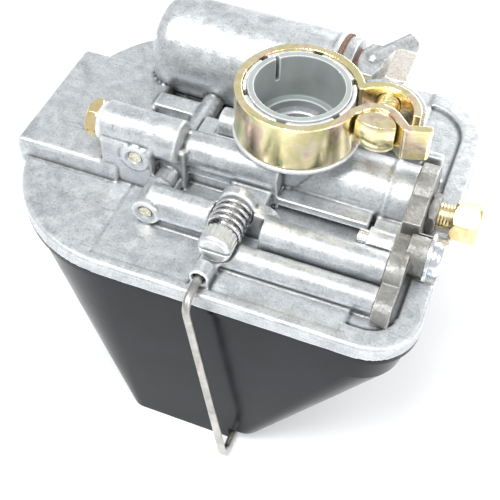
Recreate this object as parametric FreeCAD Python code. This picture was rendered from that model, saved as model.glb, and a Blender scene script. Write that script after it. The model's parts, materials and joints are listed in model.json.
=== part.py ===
import FreeCAD, Part
import math
import os

from FreeCAD import Vector

# Moped carburetor with a horizontal throttle barrel, an integral float chamber and a plastic air box.
# Millimetres. The origin is on the axis of the intake socket, level with the top of its clamp band.
# +Z is up, +X runs along the barrels to the cable end, -Y is the front, where the idle screw is.

# ---------------------------------------------------------------- clearances
RUNNING = 0.05        # radial play of a sliding or turning fit
LOOSE = 0.2           # radial play of a screw shank in a plain hole
FACE_GAP = 0.1        # axial gap between faces that move against each other
CLEAR = 0.4           # air between pieces that must never touch
POCKET = 0.2          # extra room round a piece in the pocket that holds it
OVER = 1.0            # how far a cutting tool or a web reaches past a face
HEX_CHAMFER = 0.085   # chamfer of a hexagon's corners, as a share of its width over flats

# ---------------------------------------------------------------- casting plate
PLATE_LEFT = -60.0
PLATE_RIGHT = 38.0
PLATE_HALF = 40.0
PLATE_LEFT_CORNER = 30.0
PLATE_FRONT_CORNER = 11.0
PLATE_BACK_CORNER = 15.5
PLATE_TOP = -27.0
PLATE_THICKNESS = 3.0
RIM_HEIGHT = 0.8
RIM_WIDTH = 5.0
RIM_ROUNDING = 1.0
STEP_DEPTH = 0.25
STEP_MARGIN = 2.2
PAD_HALF = 17.2
PAD_HEIGHT = 5.5
PAD_RIGHT = -36.0
PAD_ROUNDING = 1.2
STEP_LEFT = -32.8
STEP_RIGHT = 23.2

# ---------------------------------------------------------------- intake socket, bush and clamp
INTAKE_BORE = 9.5
BUSH_WALL = 1.4
BUSH_DEPTH = 13.0
BUSH_LIP = 1.5
BUSH_LIP_HEIGHT = 2.0
BUSH_SLOT_ANGLE = 138.0
BUSH_SLOT_DEPTH = 6.0
BUSH_SLOT_WIDTH = 0.8
SOCKET_WALL = 1.0
SOCKET_TOP = -0.3
SOCKET_SLOTS = 6
SOCKET_SLOT_WIDTH = 1.6
SOCKET_SLOT_DEPTH = 9.0
SOCKET_SLOT_ANGLE = 30.0
THROAT_WALL = 2.2
BAND_THICKNESS = 1.7
BAND_HEIGHT = 11.0
FLANGE_HEIGHT = 1.4
FLANGE_LIP = 0.3
BOLT_X = 17.7
BOLT_Z = -4.0
EAR_HEIGHT = 8.0
BOLT_SHANK = 2.5
BOLT_HEAD = 4.2
BOLT_HEAD_BULGE = 7.5
BOLT_HEAD_HALF = 4.9
HOOK_Y = -4.9
HOOK_ANGLES = (35.0, 150.0)
TAB_POINTS = ((6.2, -3.9), (10.5, -2.6))
BAND_GAP_ANGLES = (-15.0, 25.0)
BACK_EAR_END = 140.0
WASHER_ANGLES = (16.0, 127.0)
WASHER_THICKNESS = 1.0
CLAMP_NUT_FLATS = 8.0
CLAMP_NUT_LENGTH = 10.5
BACK_EAR_RADIUS = 7.2

# ---------------------------------------------------------------- throttle barrel
BARREL_Z = -24.0
BARREL_RADIUS = 8.0
BARREL_END = 27.8
SLIDE_RADIUS = 6.2
SLIDE_LENGTH = 17.0
SLIDE_WALL = 1.2
SLIDE_FLOOR = 3.0
AIR_BORE = 6.0
AIR_NECK = 7.0
NEEDLE_RADIUS = 0.9
NEEDLE_LENGTH = 18.0
NEEDLE_TAPER = 8.0
NEEDLE_TIP = 0.35
NEEDLE_GROOVE = 0.25
CLIP_START = 3.3
CLIP_THICKNESS = 0.5
CLIP_RADIUS = 2.6
NEEDLE_JET_LEFT = -22.0
NEEDLE_JET_RADIUS = 2.5
THROTTLE_SPRING_WIRE = 0.4
THROTTLE_SPRING_AIR = 0.5
THROTTLE_SPRING_TURNS = 9

# ---------------------------------------------------------------- throttle cover and cable adjuster
COVER_THICKNESS = 3.8
SCREW_BOSS = 3.2
ADJUSTER_Y = -1.6
ADJUSTER_SHANK = 2.6
ADJUSTER_NECK = 3.2
CABLE_HOLE = 1.3
SHEATH_SEAT = 2.6
ADJUSTER_FLATS = 8.0
ADJUSTER_HEX = 5.8
LOCKNUT_FLATS = 8.0
LOCKNUT_WIDTH = 2.2
COVER_SCREW_Y = -16.0
COVER_SCREW_Z = -21.9
COVER_SCREW_SHANK = 2.0
COVER_SCREW_HEAD = 3.8
COVER_SCREW_HEAD_LENGTH = 2.4
COVER_SCREW_ROUNDING = 1.6
COVER_SCREW_DEPTH = 8.0
COVER_SCREW_BOSS = 4.4
CROSS_LENGTH = 2.0
CROSS_WIDTH = 0.9
COVER_WASHER = 5.2
COVER_WASHER_THICKNESS = 0.8

# ---------------------------------------------------------------- float chamber
CHAMBER_Y = 23.0
CHAMBER_Z = -17.0
CHAMBER_RADIUS = 11.6
CHAMBER_WALL = 1.9
CHAMBER_ROUNDING = 4.5
CHAMBER_LEFT = -41.4
CHAMBER_RIGHT = 2.4
GASKET_THICKNESS = 0.8
COVER_RING = 2.6
CAP_FLATS = 19.0
CAP_LENGTH = 6.0
SPIGOT_RADIUS = 2.3
SPIGOT_BORE = 1.3
SPIGOT_LENGTH = 12.0
SPIGOT_RISE = 8.2
SPIGOT_ROUNDING = 0.8
STRAINER_RADIUS = 6.4
STRAINER_THICKNESS = 0.8
CAP_WALL = 1.6
FLOAT_TRAVEL = 3.0
FLOAT_LENGTH = 26.0
FLOAT_ROUNDING = 1.5
FLOAT_STEM = 1.2
FLOAT_TIP = 0.4
SEAT_RADIUS = 3.2
SEAT_LENGTH = 5.0
SEAT_RECESS = 2.0
SEAT_BORE = 0.9

# ---------------------------------------------------------------- jets and screws
JET_Y = -11.0
JET_Z = -14.5
JET_TUBE_RADIUS = 4.8
JET_TUBE_LEFT = -40.2
JET_BORE = 3.0
JET_WEB_MARGIN = 0.7
PLUG_X = -24.6
PASSAGE_Z = -22.6
PASSAGE_FRONT = -26.4
PASSAGE_RADIUS = 1.4
FIRST_PLUG_X = -31.2
FIRST_PLUG_Z = -17.5
FIRST_PLUG_RADIUS = 1.5
PLUG_BOSS = 3.2
JET_PLUG_FLATS = 7.8
JET_PLUG_HEAD = 2.8
JET_PLUG_SHANK = 6.0
JET_LENGTH = 5.0
JET_HOLE = 0.4
SCREW_SLOT_WIDTH = 0.9
SCREW_SLOT_DEPTH = 1.2
IDLE_X = -6.2
IDLE_Z = -20.0
IDLE_SHANK = 2.0
IDLE_BOSS_FACE = -19.8
IDLE_BOSS_BACK = -17.0
IDLE_BOSS_RADIUS = 4.2
IDLE_DISC_RADIUS = 4.6
IDLE_TIP_START = -18.4
IDLE_KNURLS = 18
KNURL_RADIUS = 0.3
IDLE_HEAD = 3.7
IDLE_HEAD_LENGTH = 4.6
IDLE_SPRING_RADIUS = 3.65
IDLE_SPRING_WIRE = 0.5
IDLE_SPRING_LENGTH = 8.2
IDLE_SPRING_TURNS = 4.5

# ---------------------------------------------------------------- air box and wire bail
BOX_DEPTH = 53.0
BOX_WALL = 2.0
BOX_FLOOR_LEFT = -28.3
BOX_SHOULDER_DEPTH = 8.0
BOX_SHOULDER_RIGHT = 36.0
BOX_FLOOR_RIGHT = 4.8
BOX_FLOOR_CORNER = 4.5
BOX_DRAFT = 0.8
BOX_INSET = 0.6
BAIL_X = -7.4
BAIL_Z = -23.9
BAIL_WIRE = 0.9
BAIL_BOSS = 2.2
BAIL_FOOT_X = 0.6
BAIL_SIDE_GAP = 3.6
BAIL_BEND = 3.0
BAIL_GROUND_GAP = 0.5
BAIL_REBATE = 4.3
BAIL_RECESS = 0.7
BAIL_HOLE_DEPTH = 4.1
BAIL_BOSS_LENGTH = 4.3
BOX_LIP = 1.2
FILTER_RADIUS = 16.0
FILTER_LENGTH = 29.0
INLET_X = (-22.0, 2.0)
INLET_Z = (-48.0, -40.0)

# ---------------------------------------------------------------- sizes that follow from those above
PLATE_BOTTOM = PLATE_TOP - PLATE_THICKNESS
RIM_TOP = PLATE_TOP + RIM_HEIGHT
BUSH_RADIUS = INTAKE_BORE + BUSH_WALL
SOCKET_RADIUS = BUSH_RADIUS + SOCKET_WALL
BAND_INNER = SOCKET_RADIUS + 0.05
BAND_OUTER = BAND_INNER + BAND_THICKNESS
BOX_FLOOR = PLATE_BOTTOM - BOX_DEPTH
CHAMBER_BORE = CHAMBER_RADIUS - CHAMBER_WALL
BARREL_BORE = SLIDE_RADIUS + RUNNING
COVER_RIGHT = BARREL_END + COVER_THICKNESS
BOSS_RIGHT = COVER_RIGHT + SCREW_BOSS
SLIDE_LEFT = -AIR_BORE - 1.2
CAP_START = CHAMBER_RIGHT + 2 * GASKET_THICKNESS + COVER_RING
FLOAT_LEFT = CHAMBER_LEFT + CHAMBER_WALL + 2.0
FOOT = PLATE_TOP - OVER
JET_FRONT = JET_Y - JET_TUBE_RADIUS - JET_WEB_MARGIN
PLUG_SEAT = 1.0
BAIL_FACE = PLATE_HALF - 2.5
RIB_LEFT = -24.0
RIB_HALF = BARREL_RADIUS - 2.0
STOP_BAR_FRONT = BARREL_RADIUS + 1.2

# ---------------------------------------------------------------- outline of the throttle cover
# Each lobe: its y, z and radius. Each bridge: its Y and Z ranges.
COVER_LOBES = ((0.0, BARREL_Z, BARREL_RADIUS + 0.9), (-21.6, -22.6, 4.4), (-30.0, -25.4, 3.6))
COVER_BRIDGES = (
    ((-30.0, -21.6), (-28.0, -21.8)),
    ((-21.6, 0.0), (-28.0, -18.6)),
    ((-13.2, -3.0), (-24.0, -16.6)),
)
COVER_SLOT = ((-14.4, -13.2), (-21.4, -16.0))

# ---------------------------------------------------------------- tubes and webs of the casting
# Each tube: its axis, start, end, the two other coordinates in x, y, z order, and radius.
TUBES = (
    # throttle barrel, the tube left of it and the small tube behind that
    ("x", -1.0, BARREL_END, 0.0, BARREL_Z, BARREL_RADIUS),
    ("x", -23.0, 0.0, -8.3, -18.3, 4.0),
    ("x", -18.5, -6.0, 2.4, -18.6, 3.5),
    # jet tube and the boss of the cover's screw
    ("x", JET_TUBE_LEFT, -22.0, JET_Y, JET_Z, JET_TUBE_RADIUS),
    ("x", BARREL_END - 6.0, BARREL_END, COVER_SCREW_Y, COVER_SCREW_Z - 0.4, 3.2),
    # boss of the idle screw, and the disc beside it
    ("y", IDLE_BOSS_FACE, IDLE_BOSS_BACK, IDLE_X, IDLE_Z, IDLE_BOSS_RADIUS),
    ("y", IDLE_BOSS_FACE - 1.2, IDLE_BOSS_BACK, IDLE_X + 5.0, IDLE_Z - 3.6, IDLE_DISC_RADIUS),
    # the drilled passage's boss and tube, and the boss of the plug below the jet tube
    ("y", PASSAGE_FRONT, -18.0, PLUG_X, PASSAGE_Z, PLUG_BOSS),
    ("y", -18.0, CHAMBER_Y - 9.0, PLUG_X, PASSAGE_Z, 2.4),
    ("y", JET_FRONT - 0.5, JET_Y, FIRST_PLUG_X, FIRST_PLUG_Z, PLUG_BOSS + 0.1),
    # the bail's two bosses
    ("y", -BAIL_FACE, -BAIL_FACE + BAIL_BOSS_LENGTH, BAIL_X, BAIL_Z, BAIL_BOSS),
    ("y", CHAMBER_Y + 5.0, BAIL_FACE, BAIL_X, BAIL_Z, BAIL_BOSS),
)
# Each front tube lies along X on a web of its own: its left, right, y, z and radius.
FRONT_TUBES = (
    (-25.0, -9.8, -22.3, -22.4, 3.8),
    (0.8, BARREL_END, -22.0, -22.2, 3.5),
    (-7.0, BARREL_END, -28.9, -24.2, 2.9),
)
FRONT_WEB_SHARE = 0.8
# Each web: its X, Y and Z ranges.
WEBS = (
    # under the barrel, and the shelf in front of it
    ((RIB_LEFT, BARREL_END), (-RIB_HALF, BARREL_RADIUS - 1.5), (PLATE_BOTTOM, BARREL_Z)),
    ((-1.0, BARREL_END - 7.0), (-BARREL_RADIUS - 4.0, 0.0), (-24.2, -22.2)),
    # the upright bar behind the barrel, and what joins them
    ((4.0, BARREL_END + 3.5), (STOP_BAR_FRONT, STOP_BAR_FRONT + 2.0), (FOOT, -18.5)),
    ((4.0, BARREL_END - 1.0), (BARREL_RADIUS - 1.5, STOP_BAR_FRONT + 1.0), (FOOT, -20.5)),
    # ledge and foot of the left tube
    ((-23.0, 0.0), (-11.9, -6.0), (-22.6, -20.6)),
    ((-23.0, 0.0), (-10.6, 4.0), (FOOT, -19.5)),
    # foot of the small tube, and the bar beside the float chamber
    ((-18.0, -6.0), (-0.8, 5.6), (FOOT, -18.6)),
    ((-36.5, -23.5), (4.2, 9.0), (FOOT, -20.8)),
    # pedestal of the jet tube, in two steps
    ((JET_TUBE_LEFT + 0.6, -27.5), (JET_FRONT, JET_Y + 3.5), (FOOT, JET_Z)),
    ((-28.0, -21.0), (JET_FRONT + 3.0, JET_Y + 4.5), (FOOT, JET_Z - 1.0)),
    # foot of the cover screw's boss
    ((BARREL_END - 6.0, BARREL_END), (-24.0, -8.0), (FOOT, -23.0)),
    # feet of the idle screw's boss and of the passage
    ((IDLE_X - 4.0, IDLE_X + 5.0), (IDLE_BOSS_FACE, -8.0), (FOOT, IDLE_Z - 1.0)),
    ((PLUG_X - 2.2, PLUG_X + 3.0), (-24.6, -14.0), (FOOT, -23.0)),
    # feet of the bail's bosses, and the rib between the front one and the tubes
    ((BAIL_X - 2.0, BAIL_X + 2.0), (-BAIL_FACE, -BAIL_FACE + BAIL_BOSS_LENGTH), (FOOT, BAIL_Z)),
    ((BAIL_X - 2.0, BAIL_X + 2.0), (CHAMBER_Y + 5.0, BAIL_FACE), (FOOT, BAIL_Z)),
    ((BAIL_X - 2.2, BAIL_X + 2.2), (-BAIL_FACE + BAIL_BOSS_LENGTH, -28.0), (FOOT, BAIL_Z - 0.2)),
    # small nib near the front right corner of the plate
    ((32.5, 37.0), (-31.6, -30.2), (FOOT, RIM_TOP)),
    # a rib under the plate, which closes the bottom of the throttle bore
    ((RIB_LEFT, PLATE_RIGHT - 4.0), (-RIB_HALF, RIB_HALF), (PLATE_BOTTOM - 2.0, PLATE_TOP)),
)

AXES = {"x": Vector(1, 0, 0), "y": Vector(0, 1, 0), "z": Vector(0, 0, 1)}


def place(axis, along, first, second):
    """The point at a distance along an axis, with the two other coordinates in x, y, z order."""
    if axis == "x":
        return Vector(along, first, second)
    if axis == "y":
        return Vector(first, along, second)
    return Vector(first, second, along)


def rod(axis, start, end, first, second, radius):
    """A round bar along an axis."""
    return Part.makeCylinder(radius, end - start, place(axis, start, first, second), AXES[axis])


def ring(axis, start, end, first, second, outer, inner):
    """A round tube along an axis."""
    return rod(axis, start, end, first, second, outer).cut(rod(axis, start, end, first, second, inner))


def taper(axis, start, end, first, second, radius_start, radius_end):
    """A cone along an axis."""
    base = place(axis, start, first, second)
    return Part.makeCone(radius_start, radius_end, end - start, base, AXES[axis])


def block(x_range, y_range, z_range):
    """A box between two corners."""
    low = Vector(x_range[0], y_range[0], z_range[0])
    return Part.makeBox(x_range[1] - x_range[0], y_range[1] - y_range[0], z_range[1] - z_range[0], low)


def hexagon(axis, start, end, first, second, flats, turn=0.0):
    """A hexagonal bar with its corners chamfered at both ends, as a turned nut has."""
    corner = flats / math.sqrt(3)
    angles = [math.radians(turn + 60 * i) for i in range(7)]
    points = [place(axis, start, first + corner * math.cos(a), second + corner * math.sin(a)) for a in angles]
    bar = Part.Face(Part.makePolygon(points)).extrude(AXES[axis] * (end - start))
    round_bar = rod(axis, start, end, first, second, corner)
    circles = [e for e in round_bar.Edges if e.Closed and isinstance(e.Curve, Part.Circle)]
    return bar.common(round_bar.makeChamfer(HEX_CHAMFER * flats, circles))


def domed(axis, start, end, first, second, radius, fillet, at_end=True):
    """A round bar with one rounded end."""
    bar = rod(axis, start, end, first, second, radius)
    goal = place(axis, end if at_end else start, first, second)
    circles = [e for e in bar.Edges if isinstance(e.Curve, Part.Circle)]
    return bar.makeFillet(fillet, [e for e in circles if e.Curve.Center.distanceToPoint(goal) < 0.01])


def joined(shapes):
    """One solid from shapes that overlap, added one after another."""
    whole = shapes[0]
    for shape in shapes[1:]:
        whole = whole.fuse(shape)
    return whole.removeSplitter()


def coil(start, length, center, mean_radius, wire, turns):
    """A compression spring along X, between two flat planes."""
    rise = length - 2 * wire
    helix = Part.makeHelix(rise / turns, rise, mean_radius)
    section = Part.Wire(Part.makeCircle(wire, Vector(mean_radius, 0, 0), Vector(0, 1, 0)))
    spring = Part.Wire(helix.Edges).makePipeShell([section], True, True)
    spring.translate(Vector(0, 0, wire))
    spring.rotate(Vector(0, 0, 0), Vector(0, 1, 0), 90)
    spring.translate(Vector(start, center[0], center[1]))
    return spring


def bent_wire(points, bend, radius):
    """A round wire of straight runs joined by tangent arcs."""
    edges = []
    here = points[0]
    for before, corner, after in zip(points, points[1:], points[2:]):
        back = (before - corner).normalize()
        ahead = (after - corner).normalize()
        half = back.getAngle(ahead) / 2
        reach = bend / math.tan(half)
        leave = corner + back * reach
        arrive = corner + ahead * reach
        middle_line = (back + ahead).normalize()
        middle = corner + middle_line * (bend / math.sin(half) - bend)
        edges.append(Part.LineSegment(here, leave).toShape())
        edges.append(Part.Arc(leave, middle, arrive).toShape())
        here = arrive
    edges.append(Part.LineSegment(here, points[-1]).toShape())
    section = Part.Wire(Part.makeCircle(radius, points[0], points[1] - points[0]))
    return Part.Wire(edges).makePipeShell([section], True, True)


def arc_edge(center, radius, start, end, z):
    """A horizontal arc between two angles in degrees."""
    angles = [math.radians(a) for a in (start, (start + end) / 2, end)]
    points = [Vector(center[0] + radius * math.cos(a), center[1] + radius * math.sin(a), z) for a in angles]
    return Part.Arc(*points).toShape()


def line_edge(start, end):
    """A straight edge."""
    return Part.LineSegment(start, end).toShape()


def rounded_outline(left, right, half, corners, z):
    """A rectangle symmetric about the X axis, with left, front right and back right corner radii."""
    left_r, front_r, back_r = corners
    arcs = [arc_edge((left + left_r, half - left_r), left_r, 180, 90, z),
            arc_edge((right - back_r, half - back_r), back_r, 90, 0, z),
            arc_edge((right - front_r, -half + front_r), front_r, 0, -90, z),
            arc_edge((left + left_r, -half + left_r), left_r, -90, -180, z)]
    edges = []
    for first, second in zip(arcs, arcs[1:] + arcs[:1]):
        edges.append(first)
        edges.append(line_edge(first.valueAt(first.LastParameter), second.valueAt(second.FirstParameter)))
    return Part.Wire(edges)


def plate_outline(inset, z):
    """The plate's outline, moved inwards."""
    corners = [radius - inset for radius in (PLATE_LEFT_CORNER, PLATE_FRONT_CORNER, PLATE_BACK_CORNER)]
    return rounded_outline(PLATE_LEFT + inset, PLATE_RIGHT - inset, PLATE_HALF - inset, corners, z)


def plate_slab(inset, bottom, top):
    """The plate's outline as a slab."""
    return Part.Face(plate_outline(inset, bottom)).extrude(Vector(0, 0, top - bottom))


def band_room():
    """The space that the clamp band needs, cut from what stands beside it."""
    return rod("z", -BAND_HEIGHT - CLEAR / 2, OVER, 0, 0, BAND_OUTER + CLEAR)


# ---------------------------------------------------------------- the casting
def casting_plate():
    """The flat lid over the air box, with a raised rim and a pad at its left end."""
    rim = plate_slab(0.0, PLATE_BOTTOM, RIM_TOP)
    top_edges = [e for e in rim.Edges if abs(e.BoundBox.ZMin - RIM_TOP) < 0.001]
    rim = rim.makeFillet(RIM_ROUNDING, [e for e in top_edges if abs(e.BoundBox.ZMax - RIM_TOP) < 0.001])
    above = RIM_TOP + OVER
    hollow = block((STEP_RIGHT, PLATE_RIGHT), (-PLATE_HALF, PLATE_HALF), (PLATE_TOP, above))
    rim = rim.cut(plate_slab(RIM_WIDTH, PLATE_TOP, above).common(hollow))
    step_front = -PLATE_HALF + STEP_MARGIN
    rim = rim.cut(block((STEP_LEFT, STEP_RIGHT), (step_front, PLATE_HALF), (RIM_TOP - STEP_DEPTH, above)))
    pad_top = PLATE_TOP + PAD_HEIGHT
    pad = block((PLATE_LEFT - 1, PAD_RIGHT), (-PAD_HALF, PAD_HALF), (PLATE_BOTTOM + 1, pad_top))
    pad = pad.makeFillet(PAD_ROUNDING, [e for e in pad.Edges if e.BoundBox.ZMin > pad_top - 0.1])
    return joined([rim, pad])


def casting_socket():
    """The slotted aluminium socket that the clamp squeezes onto the intake pipe."""
    flange_top = -BAND_HEIGHT - CLEAR / 2
    flange_bottom = -BAND_HEIGHT - FLANGE_HEIGHT
    socket = rod("z", flange_bottom, SOCKET_TOP, 0, 0, SOCKET_RADIUS)
    flange = rod("z", flange_bottom, flange_top, 0, 0, BAND_OUTER + FLANGE_LIP)
    neck_radius = AIR_BORE + THROAT_WALL
    barrel_top = BARREL_Z + BARREL_RADIUS
    throat = taper("z", barrel_top - 1.5, flange_bottom, 0, 0, neck_radius, SOCKET_RADIUS + 0.6)
    neck = rod("z", BARREL_Z, flange_bottom, 0, 0, neck_radius)
    return [socket, flange, throat, neck]


def casting_tubes():
    """The long tubes, bosses and webs of the casting."""
    solids = [rod(*tube) for tube in TUBES]
    for left, right, y, z, radius in FRONT_TUBES:
        half = FRONT_WEB_SHARE * radius
        solids.append(rod("x", left, right, y, z, radius))
        solids.append(block((left, right), (y - half, y + half), (FOOT, z)))
    solids.extend(block(*web) for web in WEBS)
    return solids


def casting_chamber():
    """The float chamber: a cylinder with a rounded left end."""
    return domed("x", CHAMBER_LEFT, CHAMBER_RIGHT, CHAMBER_Y, CHAMBER_Z, CHAMBER_RADIUS, CHAMBER_ROUNDING,
                 at_end=False)


def air_passage():
    """The bore from the intake socket down through the throttle barrel to the air box."""
    bottom = PLATE_BOTTOM - AIR_NECK
    bush_seat = rod("z", -BUSH_DEPTH, OVER, 0, 0, BUSH_RADIUS)
    bore = rod("z", bottom - OVER, -BUSH_DEPTH, 0, 0, AIR_BORE)
    flare = taper("z", bottom - 0.01, bottom + 2, 0, 0, AIR_BORE + 1.6, AIR_BORE)
    return [bush_seat, bore, flare]


def socket_slots():
    """The saw cuts that let the socket close when the clamp is tightened."""
    slots = []
    half = SOCKET_SLOT_WIDTH / 2
    for i in range(SOCKET_SLOTS):
        slot = block((BUSH_RADIUS - 0.5, SOCKET_RADIUS + OVER), (-half, half), (-SOCKET_SLOT_DEPTH, OVER))
        slot.rotate(Vector(0, 0, 0), AXES["z"], SOCKET_SLOT_ANGLE + 360 * i / SOCKET_SLOTS)
        slots.append(slot)
    return slots


def plate_pockets():
    """Room in the plate for the locknut, the adjuster, the cover's washer and the chamber's cover and cap."""
    right = PLATE_RIGHT + OVER
    nut = LOCKNUT_FLATS / math.sqrt(3) + 0.3
    cap = CAP_FLATS / math.sqrt(3) + POCKET
    return [rod("x", COVER_RIGHT, right, ADJUSTER_Y, BARREL_Z, nut),
            rod("x", COVER_RIGHT, right, COVER_SCREW_Y, COVER_SCREW_Z, COVER_WASHER + 0.3),
            rod("x", CHAMBER_RIGHT, CAP_START + POCKET, CHAMBER_Y, CHAMBER_Z, CHAMBER_RADIUS + CLEAR),
            rod("x", CAP_START, CAP_START + CAP_LENGTH + CLEAR, CHAMBER_Y, CHAMBER_Z, cap)]


def fuel_passages():
    """The float chamber's bore and the drillings between it and the jet tube, with their staked-in ends."""
    chamber = rod("x", FLOAT_LEFT, CHAMBER_RIGHT + OVER, CHAMBER_Y, CHAMBER_Z, CHAMBER_BORE)
    across = rod("y", PASSAGE_FRONT - 0.6, CHAMBER_Y - 5, PLUG_X, PASSAGE_Z, PASSAGE_RADIUS)
    first = rod("y", JET_Y - 8, JET_Y, FIRST_PLUG_X, FIRST_PLUG_Z, FIRST_PLUG_RADIUS)
    across_face = PASSAGE_FRONT - 0.2
    first_face = JET_FRONT - 0.7
    first_end = first_face + PLUG_SEAT
    mouth = PASSAGE_RADIUS + 1.1
    across_sink = taper("y", across_face, across_face + PLUG_SEAT, PLUG_X, PASSAGE_Z, mouth, PASSAGE_RADIUS)
    first_sink = taper("y", first_face, first_end, FIRST_PLUG_X, FIRST_PLUG_Z, mouth, PASSAGE_RADIUS)
    jet = rod("x", JET_TUBE_LEFT - OVER, PLUG_X + 1, JET_Y, JET_Z, JET_BORE)
    riser = rod("z", PASSAGE_Z, JET_Z, PLUG_X, JET_Y, 1.0)
    return [chamber, across, first, across_sink, first_sink, jet, riser]


def bail_holes():
    """The two blind holes that the bail's ends turn in, each with a wider mouth."""
    holes = []
    for side in (-1, 1):
        for depth, radius in ((BAIL_HOLE_DEPTH, BAIL_WIRE + RUNNING), (1.8, BAIL_WIRE + BAIL_RECESS)):
            start, end = sorted((side * (BAIL_FACE - depth), side * (BAIL_FACE + OVER)))
            holes.append(rod("y", start, end, BAIL_X, BAIL_Z, radius))
    return holes


def body_casting():
    casting = casting_plate()
    for solid in casting_socket() + casting_tubes() + [casting_chamber()]:
        casting = casting.fuse(solid)
    casting = casting.fuse(rod("z", PLATE_BOTTOM - AIR_NECK, PLATE_TOP, 0, 0, AIR_BORE + 2))
    cuts = air_passage() + socket_slots() + plate_pockets() + fuel_passages() + bail_holes()
    # room for the clamp band beside the float chamber
    cuts.append(band_room().cut(rod("z", -BAND_HEIGHT - OVER, 2, 0, 0, SOCKET_RADIUS)))
    # throttle bore, needle jet bore and cover screw hole
    cuts.append(rod("x", -AIR_BORE - 1.5, BARREL_END, 0, BARREL_Z, BARREL_BORE))
    cuts.append(rod("x", NEEDLE_JET_LEFT, 0, 0, BARREL_Z, NEEDLE_JET_RADIUS))
    cuts.append(rod("x", BARREL_END - COVER_SCREW_DEPTH - 1, BARREL_END + OVER, COVER_SCREW_Y, COVER_SCREW_Z,
                    COVER_SCREW_SHANK))
    # idle screw hole, and room for its spring and head
    head_reach = IDLE_SPRING_LENGTH + IDLE_HEAD_LENGTH + OVER
    cuts.append(rod("y", IDLE_BOSS_FACE - head_reach, IDLE_BOSS_FACE, IDLE_X, IDLE_Z,
                    IDLE_SPRING_RADIUS + IDLE_SPRING_WIRE + POCKET))
    cuts.append(rod("y", IDLE_BOSS_FACE - OVER, IDLE_BOSS_BACK - 0.2, IDLE_X, IDLE_Z, IDLE_SHANK + RUNNING))
    return casting.cut(cuts)


# ---------------------------------------------------------------- intake and clamp
def insulating_bush():
    """The nylon bush in the socket, with a lip at its bottom and one slot in its wall."""
    bush = ring("z", -BUSH_DEPTH, 0, 0, 0, BUSH_RADIUS, INTAKE_BORE)
    lip_top = -BUSH_DEPTH + BUSH_LIP_HEIGHT
    bush = bush.fuse(ring("z", -BUSH_DEPTH, lip_top, 0, 0, BUSH_RADIUS, INTAKE_BORE - BUSH_LIP))
    half = BUSH_SLOT_WIDTH / 2
    slot = block((INTAKE_BORE - OVER, BUSH_RADIUS + OVER), (-half, half), (-BUSH_SLOT_DEPTH, OVER))
    slot.rotate(Vector(0, 0, 0), AXES["z"], BUSH_SLOT_ANGLE)
    return bush.cut(slot).removeSplitter()


def sector(center, outer, inner, start, end, z_low, z_high):
    """A curved strip of constant width."""
    edges = [arc_edge(center, outer, start, end, z_low), arc_edge(center, inner, end, start, z_low)]
    first = line_edge(edges[0].valueAt(edges[0].LastParameter), edges[1].valueAt(edges[1].FirstParameter))
    last = line_edge(edges[1].valueAt(edges[1].LastParameter), edges[0].valueAt(edges[0].FirstParameter))
    face = Part.Face(Part.Wire([edges[0], first, edges[1], last]))
    return face.extrude(Vector(0, 0, z_high - z_low))


def polar(center, radius, angle, z):
    """The point at an angle in degrees on a horizontal circle."""
    turn = math.radians(angle)
    return Vector(center[0] + radius * math.cos(turn), center[1] + radius * math.sin(turn), z)


def clamp_band():
    """The band: a ring open towards +X, with an arched ear behind the bolt and a hooked ear in front."""
    low = -EAR_HEIGHT
    half = BAND_THICKNESS / 2
    gap_start, gap_end = BAND_GAP_ANGLES
    band_ring = sector((0, 0), BAND_OUTER, BAND_INNER, gap_end, 360 + gap_start, -BAND_HEIGHT, 0)
    back_center = (BOLT_X, 0.0)
    back_ear = sector(back_center, BACK_EAR_RADIUS + half, BACK_EAR_RADIUS - half, 0, BACK_EAR_END, low, 0)
    hook_center = (BOLT_X, HOOK_Y)
    hook_inner = BOLT_HEAD + RUNNING
    hook_middle = hook_inner + half
    hook = sector(hook_center, hook_inner + BAND_THICKNESS, hook_inner, *HOOK_ANGLES, low, 0)
    middle = (BAND_INNER + BAND_OUTER) / 2
    tab = [polar(hook_center, hook_middle, HOOK_ANGLES[0], low)]
    tab += [Vector(BOLT_X + x, y, low) for x, y in TAB_POINTS]
    back_link = (polar((0, 0), middle, gap_end, low), polar(back_center, BACK_EAR_RADIUS, BACK_EAR_END, low))
    hook_link = (polar((0, 0), middle, gap_start, low), polar(hook_center, hook_middle, HOOK_ANGLES[1], low))
    links = list(zip(tab, tab[1:])) + [back_link, hook_link]
    strips = [strip(start, end, BAND_THICKNESS, EAR_HEIGHT) for start, end in links]
    band = joined([band_ring, back_ear, hook] + strips)
    return band.cut(rod("y", -2.5, 12, BOLT_X, BOLT_Z, BOLT_SHANK + LOOSE))


def strip(start, end, thickness, height):
    """An upright flat strip between two points, with round ends."""
    along = end - start
    side = Vector(-along.y, along.x, 0).normalize() * (thickness / 2)
    points = [start + side, end + side, end - side, start - side, start + side]
    flat = Part.Face(Part.makePolygon(points)).extrude(Vector(0, 0, height))
    ends = [Part.makeCylinder(thickness / 2, height, p) for p in (start, end)]
    return joined([flat] + ends)


def clamp_bolt():
    """A bolt whose head is half a round bar lying in the front ear, with a bulging front."""
    head_z = BOLT_Z + 0.4
    head = rod("z", -EAR_HEIGHT - 0.5, -0.6, BOLT_X, HOOK_Y, BOLT_HEAD)
    head = head.common(Part.makeSphere(BOLT_HEAD_BULGE, Vector(BOLT_X, 1.3, head_z)))
    head = head.common(rod("y", -8.0, 2.0, BOLT_X, head_z, BOLT_HEAD_HALF))
    shank_end = BACK_EAR_RADIUS + BAND_THICKNESS + CLAMP_NUT_LENGTH - 2
    shank = rod("y", -4.0, shank_end, BOLT_X, BOLT_Z, BOLT_SHANK)
    return joined([head, shank])


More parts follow.
